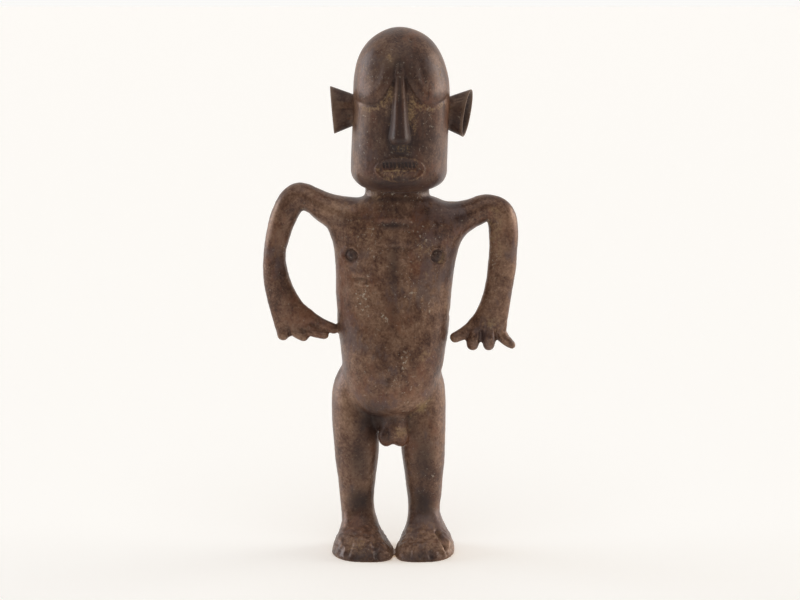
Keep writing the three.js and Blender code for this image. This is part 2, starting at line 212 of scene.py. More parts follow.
LEGS = [
    [(93, -12.5, 4.6, 7, 7), (82, -15.7, 4.2, 10.7, 11.6), (72, -16.7, 3.6, 11.7, 12.4),
     (60, -16.5, 2, 11.3, 12), (46, -16.2, 1.2, 10.4, 11), (31, -16.3, 2.3, 8.8, 9.5),
     (15, -15.7, 2.1, 8, 8.4)],
    [(93, 12.5, 4.6, 7.2, 7), (82, 14.5, 4.2, 10.9, 11.6), (72, 15.1, 3.6, 11.6, 12.4),
     (60, 15.3, 2, 11.1, 12), (46, 15.8, 1.2, 10.2, 11), (31, 16.2, 2.3, 8.8, 9.5), (15, 16.1, 2.1, 7.3, 8)],
]
FEET = [
    [(20, -15.9, 7.7, -5.7, 10.3, 1.7), (14, -14.8, 8.6, -10.2, 11.2, -0.8),
     (9.5, -14.5, 10.3, -16.9, 13.1, -6.2), (5.5, -14, 12.6, -22.2, 14.2, -9.8),
     (1.6, -13.4, 14.7, -25.6, 13.9, -11.3), (0, -13.4, 14.4, -25.3, 12.7, -11.3)],
    [(20, 16.1, 7.2, -5.7, 9.9, 1.7), (14, 16.5, 8.5, -10.2, 11, -0.8),
     (9.5, 16.9, 10.7, -16.9, 13.1, -6.2), (5.5, 17.1, 12.7, -22.2, 14.2, -9.8),
     (1.6, 16.4, 14, -25.6, 13.9, -11.3), (0, 16.3, 13.6, -25.3, 12.7, -11.3)],
]
SPLAY = dict(high=13.0, plan=2.8, outer=0.032, inner=0.11)


def leg(rows):
    """A leg as a limb from the buttock down to the ankle."""
    return limb([(x, y, z, wide, deep) for z, x, y, wide, deep in rows], sides=80)


def foot(rows, side):
    """The foot's level rings, whose front edge falls back at the little toe with the square of the way out
    and comes forward evenly at the big toe."""
    z, centre, half, front, back, widest = through(rows, 40).T
    rings = level_rings(z, centre, half, front, back, widest, turns(120), SPLAY["plan"])
    outward = side * (rings[..., 0] - centre[:, None])
    low = np.clip(1 - z / SPLAY["high"], 0, 1)[:, None]
    swing = SPLAY["outer"] * np.maximum(outward, 0) ** 2 + SPLAY["inner"] * np.minimum(outward, 0)
    rings[..., 1] += np.where(rings[..., 1] < widest[:, None], swing * low, 0)
    return skin(rings)


# The joined wax
# Trunk, limbs and digits are melted together and worked with the fingers: their skins are remeshed as one,
# the joints are rubbed smooth, and toes, nipples, navel, creases and scars are pressed or scored in.

VOXEL = 0.55


def object_of(name, points, faces):
    """Points in millimetres and faces as a Blender object in metres, at the origin."""
    mesh = bpy.data.meshes.new(name)
    mesh.from_pydata((np.asarray(points) * MM).tolist(), [], np.asarray(faces).tolist())
    piece = bpy.data.objects.new(name, mesh)
    bpy.context.collection.objects.link(piece)
    return piece


def gathered(forms):
    """Several skins as the points and triangles of one mesh."""
    start = np.cumsum([0] + [len(points) for points, _ in forms[:-1]])
    return np.vstack([points for points, _ in forms]), np.vstack([f + s for (_, f), s in zip(forms, start)])


def applied(piece):
    """The piece with its modifiers worked into its mesh."""
    graph = bpy.context.evaluated_depsgraph_get()
    mesh = bpy.data.meshes.new_from_object(piece.evaluated_get(graph))
    piece.modifiers.clear()
    old, piece.data = piece.data, mesh
    bpy.data.meshes.remove(old)
    return piece


def numbers(mesh):
    """The mesh's points in millimetres, its edges and its normals."""
    points = np.empty(len(mesh.vertices) * 3, np.float32)
    mesh.vertices.foreach_get("co", points)
    edges = np.empty(len(mesh.edges) * 2, np.int32)
    mesh.edges.foreach_get("vertices", edges)
    normals = np.empty(len(mesh.vertices) * 3, np.float32)
    mesh.vertex_normals.foreach_get("vector", normals)
    return points.reshape(-1, 3) / MM, edges.reshape(-1, 2), normals.reshape(-1, 3)


def put_back(mesh, points):
    """Points in millimetres written into the mesh."""
    mesh.vertices.foreach_set("co", (points * MM).astype(np.float32).ravel())
    mesh.update()


def averaged(values, edges, rounds, share=0.5):
    """Each value moved by a share of the way to its neighbours' mean, again and again."""
    ends = np.concatenate([edges[:, 0], edges[:, 1]])
    others = np.concatenate([edges[:, 1], edges[:, 0]])
    count = np.bincount(ends, minlength=len(values)).astype(float)
    values = np.array(values, float)
    for _ in range(rounds):
        columns = values[others].reshape(len(others), -1)
        mean = np.stack([np.bincount(ends, columns[:, c], len(values)) for c in range(columns.shape[1])], -1)
        mean = (mean / count[:, None]).reshape(values.shape)
        values += share * (mean - values)
    return values


def hump(v, width):
    """The bell curve exp(-(v / width) squared)."""
    return np.exp(-(v / width) ** 2)


def rubbed(points):
    """How much each point of the wax is rubbed smooth: fully on the trunk and shoulders, less on the hanging
    belly's edge, the loins, hips, palms and ankles, and not at all on fingers and toes."""
    x, y, z = points.T
    reach = 23 + 13 * soft(z, 130, 152)
    amount = (1 - soft(np.abs(x - 1.5), reach, reach + 3)) * soft(z, 92, 104)
    corner = hump(z - 171.5, 5) * hump(np.abs(x - 3.3) - 17, 7)
    out_back = 0.1 + 0.4 * soft(np.abs(x), 15, 22) + 0.4 * soft(y, 0, 8)
    hips = soft(z, 60, 68) * (1 - soft(z, 92, 104)) * out_back
    small = 0.3 * soft(z, 48, 56) * (1 - soft(z, 64, 70)) * hump(x - 1, 11)
    palms = 0.2 * soft(np.abs(x), 33, 40) * soft(z, 108, 114) * (1 - soft(z, 122, 130))
    ankles = 0.4 * soft(z, 13, 18) * (1 - soft(z, 24, 32)) * (np.abs(x) < 30)
    return 0.5 * amount * (1 - 0.8 * corner) + 0.5 * hips + small + palms + ankles


def uneven(points, size, seed):
    """Smooth unevenness between about -1 and 1: sine waves of about the given size in seeded directions."""
    draw = np.random.default_rng(seed)
    total = np.zeros(len(points))
    for _ in range(16):
        way = draw.normal(size=3)
        way *= 2 * np.pi * draw.uniform(0.6, 1.6) / size / np.linalg.norm(way)
        total += np.sin(points @ way + draw.uniform(0, 2 * np.pi))
    return total / 4


def along(x, z, line):
    """Distance in the front view from a straight line between two places."""
    x0, z0, x1, z1 = line
    t = np.clip(((x - x0) * (x1 - x0) + (z - z0) * (z1 - z0)) / ((x1 - x0) ** 2 + (z1 - z0) ** 2), 0, 1)
    return np.hypot(x - x0 - t * (x1 - x0), z - z0 - t * (z1 - z0))


SCORES = [                       # a line from x, z to x, z, then how deep and half as wide again
    ((-7.6, 11, -6.2, 1), 1.0, 1.2), ((-11.4, 4.5, -12.4, 1), 0.35, 0.9),
    ((-14.6, 6, -16.2, 1.5), 0.4, 0.8), ((-18.4, 7, -20.6, 2.5), 0.5, 1.0),
    ((-22.4, 4.5, -24.2, 2.5), 0.4, 0.8), ((-9.6, 7.5, -8.4, 2.5), -0.4, 0.8),
    ((10.6, 9.5, 8.6, 1.5), 0.5, 1.1), ((14.4, 5, 13.6, 1), 0.4, 0.9), ((19, 6, 19.6, 1), 0.5, 0.9),
    ((22.2, 11.6, 26.4, 5.4), 2.2, 0.95), ((26.4, 5.4, 27, 2), 0.6, 0.8), ((17, 8, 17.2, 1.8), -0.7, 0.6),
    ((23.6, 7.4, 26, 3.6), -0.5, 0.7), ((-41.5, 107.4, -30, 106.9), 0.7, 0.45),
    ((-46.6, 107.2, -40.6, 106.3), 0.6, 0.5), ((-48.3, 108.6, -47.8, 104.5), 1.1, 0.7),
    ((37.3, 105.6, 36.4, 103.6), 0.9, 0.7), ((43, 106.6, 42.8, 101.5), 1.4, 0.8),
    ((50, 107, 51.2, 102.5), 1.0, 0.8), ((-6, 158.3, 9, 158.1), 0.5, 2.0),
    ((-4, 161.6, 8, 161.4), -0.25, 1.6), ((-2, 147.9, 9, 147.7), 0.35, 1.1),
    ((5.6, 145.6, 6, 141.4), -0.5, 0.6), ((-16.4, 133.4, -11.2, 133), 0.7, 1.1),
    ((-16, 130.8, -11.6, 130.4), -0.3, 0.7), ((-3, 114, -1, 107), 0.2, 1.1),
    ((-0.9, 61, -0.9, 55), 0.35, 0.6),
]
NIPPLES = [(-18.6, 143.8), (22.4, 143.4)]
NAVEL = [(-1.1, 86.6, 1.6, 0.7), (-1.1, 83.2, 1.1, 0.4)]
NICK = dict(y=1.7, z=115.2, from_x=24, to_x=32)


def tooled(points, normals):
    """The marks of fingers and tools, as depths along the normal: a score or a pit is a bell curve across its
    width, and a nipple is a disc inside a scored ring."""
    x, y, z = points.T
    depth = -0.6 * hump(x - 1.6 - (z - 120) * 0.03, 3) * soft(z, 100, 122) * soft(-z, -156, -148)
    for line, deep, wide in SCORES:
        depth -= deep * hump(along(x, z, line), wide)
    for place_x, place_z in NIPPLES:
        off = np.hypot(x - place_x, z - place_z) + 0.22 * uneven(points, 5, 9)
        depth += 0.5 * hump(off - 3.9, 0.8) - 1.0 * hump(off - 2.8, 0.7) + 0.5 * hump(off, 1.9)
    for place_x, place_z, wide, deep in NAVEL:
        depth -= deep * hump(np.hypot(x - place_x, z - place_z), wide)
    on_toes = np.where(z < 15, soft(np.maximum(-normals[:, 1], normals[:, 2]), 0.2, 0.6) * (y < -5), 1)
    depth *= np.where(z < 15, on_toes, soft(-normals[:, 1], 0.15, 0.6))
    flank = hump(z - NICK["z"], 1.3) * hump(y - NICK["y"], 3) * soft(normals[:, 0], 0.6, 0.9)
    depth -= 0.9 * flank * (x > NICK["from_x"]) * (x < NICK["to_x"])
    rough = 0.2 * soft(-z, -16, -8) * (y < 0)
    return depth + 0.1 * uneven(points, 13, 3) + (0.035 + rough) * uneven(points, 4, 4)


forms = [trunk(), neck(), *loins(), *[limb(arm) for arm in ARMS], *[digit(*each) for each in DIGITS],
         *[leg(rows) for rows in LEGS], foot(FEET[0], -1), foot(FEET[1], 1)]
body = object_of("body_wax", *gathered(forms))
remesh = body.modifiers.new("melt", "REMESH")
remesh.mode = "VOXEL"
remesh.voxel_size = VOXEL * MM
applied(body)
points, edges, normals = numbers(body.data)
for _ in range(4):
    points = averaged(points, edges, 1, 0.6)
    points = averaged(points, edges, 1, -0.55)
points = averaged(points, edges, 90, rubbed(points)[:, None])
put_back(body.data, points)
points, edges, normals = numbers(body.data)
points += normals * (tooled(points, normals) * soft(points[:, 2], 0.3, 1.5))[:, None]
points[:, 2] = np.where(points[:, 2] < 0.35, 0, points[:, 2])
put_back(body.data, points)


# Head and face
# A thimble of wax with a domed crown and a rounded jaw. The brow hangs over the cheeks in two heavy lobes,
# the nose is one long ridge, and the mouth is a low oval with two rows of scored teeth.

HEAD = dict(x=4.1, lean=1.2, settle=0.6, half=22.7, front=24.4, nape=17.5, back=25.3, chin=172.4,
            jaw=184.0, dome=215.5, apex=250.0)
CROWN = (2.75, 1.95)
JAW_ROUND = 2.45
FACE = 4.55                      # x of the face's middle line
LID = dict(z=214.6, slope=1.9, turn=8.95, ease=1.6, side=13.5, lift=0.045)
LOBE = dict(sunk=1.3, roll=4.0, bulge=0.8, at=4.2, spread=4.0)
NOSE = [                         # height, half width and how proud
    (234, 1.6, 0.2), (229, 2.6, 1.7), (218, 3.5, 3.0), (208, 4.3, 4.3), (200, 5.3, 5.5), (196, 5.6, 5.9),
]
NOSE_END = 196.3
MOUTH = dict(z=184.9, wide=11.3, high=5.6)
UPPER_TEETH = dict(low=185.6, high=188.6, pitch=1.75)
LOWER_TEETH = dict(low=180.2, high=183.4, gaps=(-7.3, -3.6, -1.4, 1.7, 6.6))
PIT = (9.5, 244.5)


def head_growth(z):
    """How far the head's rings have grown at a height: closed off to nothing at the chin and at the apex."""
    crown = closing((z - HEAD["dome"]) / (HEAD["apex"] - HEAD["dome"]), CROWN[0]) ** (CROWN[0] / CROWN[1])
    return np.minimum(crown, closing((HEAD["jaw"] - z) / (HEAD["jaw"] - HEAD["chin"]), JAW_ROUND))


def head_grid(step=0.42):
    """The head's rings, evenly spaced along its front outline and closer at the nose's end, with their points
    crowded towards the front."""
    fine = HEAD["chin"] + (HEAD["apex"] - HEAD["chin"]) * (1 - np.cos(np.linspace(0, np.pi, 6000))) / 2
    pace = np.hypot(np.diff(fine), HEAD["front"] * np.diff(head_growth(fine)))
    way = np.concatenate([[0], np.cumsum(pace * (1 + 0.6 * hump(fine[1:] - NOSE_END - 0.5, 2)))])
    z = np.interp(np.linspace(0, way[-1], int(way[-1] / step))[1:-1], way, fine)
    grow = head_growth(z)
    back = HEAD["nape"] + (HEAD["back"] - HEAD["nape"]) * soft(z, HEAD["chin"], 212)
    lean = HEAD["lean"] * soft(z, 186, 216) - HEAD["settle"] * soft(z, 218, 240)
    even = turns(300)
    return level_rings(z, HEAD["x"] + lean, HEAD["half"] * grow, MIDDLE - HEAD["front"] * grow,
                       MIDDLE + back * grow, MIDDLE, even + 0.5 * np.cos(even))


def grid_normals(rings):
    """Outward normals of a grid of rings: the cross of its two directions of travel."""
    around = np.roll(rings, -1, 1) - np.roll(rings, 1, 1)
    up = np.gradient(rings, axis=0)
    out = np.cross(up, around)
    return out / np.maximum(np.linalg.norm(out, axis=-1, keepdims=True), 1e-9)


def over_lid(x, z):
    """How far a place is above the lobes' lower edge, square to it. The edge falls from the nose at an even
    slope, levels out under each lobe, and lifts again towards the head's side."""
    off = np.abs(x - FACE)
    ease = (LID["turn"] - off) / LID["ease"]
    lift = LID["lift"] * np.maximum(off - LID["side"], 0) ** 2
    edge = LID["z"] + LID["slope"] * LID["ease"] * np.log1p(np.exp(ease)) + lift
    slope = LID["slope"] / (1 + np.exp(-ease))
    return (z - edge) / np.sqrt(1 + slope ** 2)


def off_lips(x, z):
    """Distance outside the oval line of the lips, nearly square to it."""
    oval = np.hypot((x - FACE) / MOUTH["wide"], (z - MOUTH["z"]) / MOUTH["high"])
    return np.hypot(x - FACE, z - MOUTH["z"]) * (1 - 1 / np.maximum(oval, 0.05))


def teeth(x, z):
    """Where the upper teeth are struck, where the lower teeth are parted, and where the two rows meet."""
    off = x - FACE
    inside = soft(-np.abs(off), -8.8, -7.4)
    strokes = (1 - hump(np.sin(np.pi * (off + 0.12 * z) / UPPER_TEETH["pitch"]), 0.42)) * inside
    strokes = strokes * soft(z, UPPER_TEETH["low"] - 0.4, UPPER_TEETH["low"] + 0.3)
    strokes = strokes * (1 - soft(z, UPPER_TEETH["high"] - 0.5, UPPER_TEETH["high"] + 0.3))
    gaps = sum(hump(off - gap, 0.42) for gap in LOWER_TEETH["gaps"])
    gaps = gaps * soft(z, LOWER_TEETH["low"] - 0.4, LOWER_TEETH["low"] + 0.2)
    gaps = gaps * (1 - soft(z, LOWER_TEETH["high"] - 0.2, LOWER_TEETH["high"] + 0.4))
    return strokes, gaps, hump(z - 184.6 + 0.008 * off ** 2, 0.7) * inside


def head():
    """The head's grid pushed along its normals by the face's relief, and forward by the ridge of the nose."""
    rings = head_grid()
    normals = grid_normals(rings)
    x, y, z = rings[..., 0], rings[..., 1], rings[..., 2]
    off = x - FACE
    facing = soft(-normals[..., 1], 0.05, 0.4)
    above = over_lid(x, z)
    apart = soft(np.abs(off), 1, 8) * (1 - 0.7 * soft(np.abs(off), 13, 20))
    roll = np.sqrt(1 - (1 - np.clip(above / LOBE["roll"], 0, 1)) ** 2)
    lobe = LOBE["bulge"] * hump(above - LOBE["at"], LOBE["spread"]) * apart * (above > 0) * roll
    sunk = (-LOBE["sunk"] * (1 - roll) * (0.45 + 0.55 * soft(z, 188, 208))
            * (1 - 0.75 * soft(np.abs(off), 12, 20)))
    valley = -0.45 * hump(off, 2.6) * soft(z, 229, 234) * (1 - soft(z, 238, 252))
    crease = -0.2 * hump(above + 0.6, 0.9) * soft(np.abs(off), 1.5, 5)
    lips = off_lips(x, z)
    rim = 0.25 * hump(lips, 0.55) - 0.22 * (1 - soft(lips, -1.6, -0.3)) - 0.1 * hump(lips - 1.3, 0.8)
    strokes, gaps, bite = teeth(x, z)
    pit = -0.9 * hump(np.hypot(x - PIT[0], z - PIT[1]), 0.8)
    relief = facing * (lobe + sunk + valley + crease + rim - 0.35 * strokes + 0.15 * gaps + 0.2 * bite + pit)
    relief += 0.07 * uneven(rings.reshape(-1, 3), 14, 5).reshape(x.shape)
    rings = rings + normals * relief[..., None]
    rows = through(NOSE, 60)
    half, proud = (np.interp(z, rows[::-1, 0], rows[::-1, i], right=0) for i in (1, 2))
    end = closing(1 - np.clip((z - NOSE_END) / 3.6, 0, 1), 2)
    across = np.clip(np.abs(off + 0.1) / np.maximum(half * (0.6 + 0.4 * end), 0.5), 0, 1)
    rings[..., 1] -= proud * (1 - across ** 4) ** 1.6 * end * (y < MIDDLE)
    return skin(rings)


# Ears
# Two funnels with thin walls, pushed onto the sides of the head. One skin runs out along the wall, over the
# round lip and down into the hollow.

EAR = dict(wall=0.85, y=3.3, root=18.7, high=(6.2, 11.1), deep=(4.8, 7.4))
EARS = [                         # side, height, reach, lean and turn
    (-1, 211.2, 31.5, 0.08, 0.06), (1, 209.7, 31.3, 0.16, 0.25),
]


def ear(side, height, reach, lean, turn):
    """A flared elliptical funnel: its half sizes grow in a straight line from the root to the mouth, which
    leans out above by lean and turns to the front by turn."""
    lip = np.linspace(0, np.pi, 9)[1:-1]
    out = np.concatenate([np.linspace(0, 1, 34), 1 + 0.04 * np.sin(lip), np.linspace(1, 0.42, 22)])
    shrink = EAR["wall"] * np.concatenate([np.zeros(34), (1 - np.cos(lip)) / 2, np.ones(22)])
    around = turns(72)
    high = (EAR["high"][0] + (EAR["high"][1] - EAR["high"][0]) * out - shrink)[:, None] * np.sin(around)
    deep = (EAR["deep"][0] + (EAR["deep"][1] - EAR["deep"][0]) * out - shrink)[:, None] * np.cos(around)
    far = EAR["root"] + (reach - EAR["root"]) * out[:, None] + out[:, None] * (high * lean + deep * turn)
    return skin(np.stack([FACE + side * far, EAR["y"] + deep, height + high], -1))


def united(main, *others):
    """The main piece joined with the others into one closed skin by a Boolean."""
    for other in others:
        join = main.modifiers.new("join", "BOOLEAN")
        join.operation, join.solver, join.object = "UNION", "MANIFOLD", other
        applied(main)
        bpy.data.objects.remove(other)
    return main


figure = united(body, object_of("head_wax", *head()), *(object_of("ear_wax", *ear(*each)) for each in EARS))
figure.name = figure.data.name = "bronze_figure"
thin = figure.modifiers.new("thin", "DECIMATE")
thin.ratio = 194000 / sum(len(p.vertices) - 2 for p in figure.data.polygons)
applied(figure)
figure.data.shade_smooth()


# Bronze
# Dark brown cast bronze, rubbed and waxed: umber with redder and greyer patches, ochre casting clay left in
# the hollows and in a few patches, pale specks, and dark soot mixed with painted shade in hollows, creases,
# under overhangs and down the middle of the face and chest. Hollows and ridges are measured on the mesh
# itself.

CLAY = [                         # x, height, half width, half height, how much, on the front
    (-11.1, 230, 6, 8, 0.5), (-0.6, 236.7, 2.6, 3.5, 0.7), (23.5, 229, 3, 8, 0.5), (5, 194.4, 6.5, 2, 0.75),
    (-2.6, 206, 1.6, 12, 0.55), (11, 204, 1.6, 10, 0.55), (10.5, 212, 3.4, 9, 0.75),
    (0.2, 219, 1.8, 6, 0.7), (-1.5, 207, 2.2, 7, 0.4), (4.5, 184.5, 13, 7, 0.5), (-6, 184.8, 2, 2, 0.7),
    (15.6, 183.8, 2, 2, 0.7), (5, 190.4, 6, 1, 0.7), (-6, 171, 5, 2.4, 0.5), (14, 171, 4, 2.4, 0.45),
    (15, 71, 5, 5, 0.75), (11.5, 66, 3.4, 3.4, 0.6), (18, 75, 4, 4, 0.6), (21, 90, 3, 6, 0.3),
    (3.4, 60, 2, 6, 0.6), (6, 60, 3, 4, 0.75), (-3, 88, 6, 3, 0.35), (24, 140, 3, 10, 0.45),
    (-12, 154, 12, 9, 0.45), (16, 150, 9, 10, 0.45), (17, 8, 12, 7, 0.4), (-14, 6, 12, 6, 0.45),
    (49, 158, 5, 12, 0.6), (51, 146, 3.5, 14, 0.5), (48, 111, 7, 5, 0.65), (24.5, 66, 1.8, 12, 0.4),
    (14, 130, 8, 24, 0.4), (14, 96, 10, 14, 0.4), (-12, 100, 9, 16, 0.35), (-40, 164, 8, 4, 0.35),
]
GRIME_AND_SHADE = [                        # the same for the dark places: mostly painted shade in creases, pits, grooves, under the jaw and belly, between the thighs, along the soles, on the arms' inner sides and down the middle of the face, forehead and chest, with some real grime
    (-18.6, 143.8, 2.8, 3, 0.95), (22.4, 143.4, 2.8, 3, 0.95), (1, 158.2, 8, 2, 0.85),
    (1.7, 166, 7, 4, 0.5), (3, 147.7, 6, 1.2, 0.5), (1.5, 138, 4, 18, 0.65), (1, 116, 4, 14, 0.45),
    (4.8, 229, 3, 8, 0.55), (4.5, 200, 23, 26, 0.85), (4.5, 178, 24, 6, 0.95), (4.5, 230, 21, 17, 0.8),
    (-50, 140, 9, 34, 0.4), (-45, 108, 9, 6, 0.4), (-13.5, 218.5, 4, 2.6, 0.5), (21, 219, 6, 3, 0.6),
    (14, 219.5, 4, 3, 0.5), (-1.2, 221.5, 1.6, 1.8, 0.7), (-24, 160, 10, 3.5, 0.45), (34, 160, 7, 4, 0.5),
    (-42, 164, 5, 3, 0.5), (43, 158, 4, 4, 0.5), (-9, 64, 10, 13, 0.9), (0, 66, 7, 3, 0.6),
    (-0.9, 58, 0.9, 5, 0.7), (8.5, 66, 2.5, 5, 0.6), (11, 60, 4, 12, 0.5), (-14, 2, 14, 4, 0.7),
    (17, 2, 14, 4, 0.7), (2, 170, 16, 2, 0.7), (-15, 25, 7, 9, 0.95), (16, 25, 7, 9, 0.95),
    (-15, 46, 7, 16, 0.75), (16, 46, 7, 16, 0.75), (21, 107, 3, 3, 0.4), (-27, 108, 3, 3, 0.5),
    (-13.7, 133, 2.6, 1.2, 0.5), (24.8, 9.2, 1.4, 1.8, 0.7), (-1, 84.5, 1.8, 3.4, 0.5), (6, 240, 4, 5, 0.3),
    (41, 150, 3, 12, 0.3), (-45, 150, 3, 12, 0.3),
]
CHALK = [                        # the same for patches of pale specks
    (-12.5, 124, 5, 7, 0.9), (-13.5, 132, 4, 3, 0.8), (-3.4, 115, 4, 3, 0.8), (8, 129, 5, 6, 0.7),
    (16, 119, 4, 6, 0.7), (6, 94, 3, 6, 0.9), (-2.5, 90.2, 2, 3, 0.6), (4, 172, 13, 3, 0.6),
    (-8, 150, 9, 8, 0.5), (16, 150, 9, 12, 0.5), (2, 82, 14, 8, 0.4), (-5, 228, 14, 10, 0.25),
    (17, 205, 4, 12, 0.2), (-10, 200, 4, 12, 0.3), (49, 140, 3, 10, 0.6), (-50, 146, 2, 3, 0.6),
    (-40, 163, 2, 2, 0.6), (19, 36, 3, 4, 0.5), (-10, 36, 2, 4, 0.5),
]


def store(name, values):
    """A number between 0 and 1 for each point of the mesh, for the material to read."""
    attribute = figure.data.attributes.new(name, "FLOAT", "POINT")
    attribute.data.foreach_set("value", np.clip(values, 0, 1).astype(np.float32))


def dabbed(places):
    """The strongest of several soft oval dabs on the figure's front."""
    total = np.zeros(len(points))
    for place_x, place_z, wide, high, amount in places:
        total = np.maximum(total, amount * hump(np.hypot((x - place_x) / wide, (z - place_z) / high), 1))
    return total * on_front


points, edges, normals = numbers(figure.data)
span = np.linalg.norm(points[edges[:, 0]] - points[edges[:, 1]], axis=1)
typical = np.bincount(edges.ravel(), np.repeat(span, 2)) / np.bincount(edges.ravel())
sharp = ((averaged(points, edges, 1, 1.0) - points) * normals).sum(1) / typical ** 2
sharp = averaged(sharp, edges, 3)
broad = ((averaged(points, edges, 30) - points) * normals).sum(1)
hollow = averaged(np.clip(sharp / 0.5, 0, 1) * 0.6 + np.clip(broad / 0.5, 0, 1) * 0.7, edges, 2)
ridge = averaged(np.clip(-sharp / 0.6, 0, 1) * 0.5 + np.clip(-broad / 0.7, 0, 1) * 0.6, edges, 2)
x, y, z = points.T
on_front = soft(-normals[:, 1], -0.2, 0.4)
above, lips = over_lid(x, z), off_lips(x, z)
strokes, gaps, bite = teeth(x, z)
face = (z > 176) * on_front
sides = soft(-np.abs(x - FACE - 1), -23, -19)
under_lids = hump(above + 2.3, 2.0) * (z > 200) * face * sides * soft(np.abs(x - FACE), 2, 6)
mouth_clay = np.maximum.reduce([0.85 * bite, 0.7 * gaps * (lips < 0), 0.62 * hump(lips, 0.95)])
mouth_clay = mouth_clay * (z < 193) * face
# A dark band along the lobes' lower edge: painted shade under the overhanging brow.
lid_crease_shade = 0.5 * hump(above - 0.3, 1.2) * (z > 200) * face * sides * soft(np.abs(x - FACE), 2, 6)
# The nose's crest is painted dark: a painted dark reflection of the shadowy front, also kept free of the
# lighter worn-edge colour.
crest_half = 1.1 + 0.065 * (230 - z)
nose_crest_shade = 0.95 * hump((x - FACE + 0.1) / crest_half, 1) * soft(z, 195, 197) * soft(-z, -232, -226) * face
lip = sum(soft(side * (x - FACE) - reach - (z - height) * lean - (y - EAR["y"]) * turn, -0.8, -0.2)
          for side, height, reach, lean, turn in EARS) * (z > 190)
store("hollow", hollow)
small = hump(np.hypot((x - 1) / 9, (z - 59) / 10), 1)
store("ridge", np.maximum(ridge * (1 - nose_crest_shade) * (1 - 0.8 * small) * soft(z, 1.5, 5), lip))
store("clay", np.maximum(np.maximum(dabbed(CLAY), 0.6 * under_lids), mouth_clay))
ears = (np.abs(x - FACE) > HEAD["half"] + 1) * (z > 190)
# Inside each ear funnel the colour is darkened as painted shade in the hollow; the ears are darker as a
# whole, and the scored upper teeth strokes are darkened as painted shade in their grooves.
bore = ears * soft(-(normals[:, 1] * (y - EAR["y"]) + normals[:, 2] * (z - 210.5)), 0, 2)
shades_and_grime = (dabbed(GRIME_AND_SHADE), lid_crease_shade, 1.1 * strokes * (lips < 0) * face, 0.4 * bore, 0.65 * ears, nose_crest_shade)
store("grime_and_shade", np.maximum.reduce(shades_and_grime))
store("chalk", dabbed(CHALK))


class Field:
    """A shader socket. Python's operators on it add the Math nodes that work them out."""

    tree = None

    def __init__(self, socket):
        self.socket = socket

    @classmethod
    def node(cls, kind, settings=None, inputs=None, out=0):
        """Any node: its settings and ramp stops first, then the values or fields of its sockets."""
        made = cls.tree.nodes.new(kind)
        for name, value in (settings or {}).items():
            setattr(made, name, value)
        for name, value in (inputs or {}).items():
            if isinstance(value, Field):
                cls.tree.links.new(value.socket, made.inputs[name])
            else:
                made.inputs[name].default_value = value
        return cls(made.outputs[out])

    def _sum(self, operation, other, swapped=False):
        pair = (other, self) if swapped else (self, other)
        return Field.node("ShaderNodeMath", {"operation": operation}, dict(enumerate(pair)))

    def __add__(self, other): return self._sum("ADD", other)
    def __radd__(self, other): return self._sum("ADD", other, True)
    def __sub__(self, other): return self._sum("SUBTRACT", other)
    def __rsub__(self, other): return self._sum("SUBTRACT", other, True)
    def __mul__(self, other): return self._sum("MULTIPLY", other)
    def __rmul__(self, other): return self._sum("MULTIPLY", other, True)


def noise(where, size, detail=3, roughness=0.55):
    """Cloudy noise between 0 and 1 with features of about the given size in millimetres."""
    return Field.node("ShaderNodeTexNoise", {}, {"Vector": where, "Scale": 1000 / size, "Detail": detail,
                                                 "Roughness": roughness})


def moved(where, offset, scale=(1, 1, 1)):
    """The same place moved and stretched, so that one noise gives several patterns."""
    return Field.node("ShaderNodeMapping", {}, {"Vector": where, "Location": offset, "Scale": scale})


def between(field, low, high):
    """The field stretched so that low becomes 0 and high becomes 1, with soft ends."""
    return Field.node("ShaderNodeMapRange", {"interpolation_type": "SMOOTHSTEP"},
                      {"Value": field, "From Min": low, "From Max": high})


def tinted(under, over, amount):
    """One colour laid over another by an amount."""
    return Field.node("ShaderNodeMix", {"data_type": "RGBA"}, {0: amount, 6: under, 7: over}, 2)


def measured(name):
    """A number stored on the mesh."""
    return Field.node("ShaderNodeAttribute", {"attribute_name": name}, out=2)


UMBER_DEEP = (0.052, 0.024, 0.017, 1)
UMBER = (0.155, 0.078, 0.048, 1)
UMBER_LIGHT = (0.380, 0.235, 0.150, 1)
RUSSET = (0.180, 0.065, 0.032, 1)
SLATE = (0.100, 0.070, 0.070, 1)
OCHRE = (0.270, 0.175, 0.082, 1)
PALE = (0.56, 0.48, 0.38, 1)
# The darkest colour: soot, and painted shade where it darkens hollows, creases and the dark dabs.
SHADE_AND_SOOT = (0.016, 0.009, 0.010, 1)

bronze = bpy.data.materials.new("bronze_patina")
bronze.use_nodes = True
Field.tree = bronze.node_tree
shader = bronze.node_tree.nodes["Principled BSDF"]

place = Field.node("ShaderNodeTexCoord", out=3)
drawn = moved(place, (0, 0, 0), (1, 1, 0.35))
hollow, ridge, clay, grime_and_shade, chalk = (measured(name) for name in ("hollow", "ridge", "clay", "grime_and_shade", "chalk"))
cloud = noise(place, 22, 3)
mottle = noise(place, 6, 6, 0.68)
streak = noise(drawn, 2.4, 5, 0.66)
grain = noise(place, 1.1, 4, 0.65)
red = noise(moved(place, (0.3, 0.1, 0.2)), 17, 4, 0.6)
cool = noise(moved(place, (0.7, 0.4, 0.1)), 20, 4, 0.6)

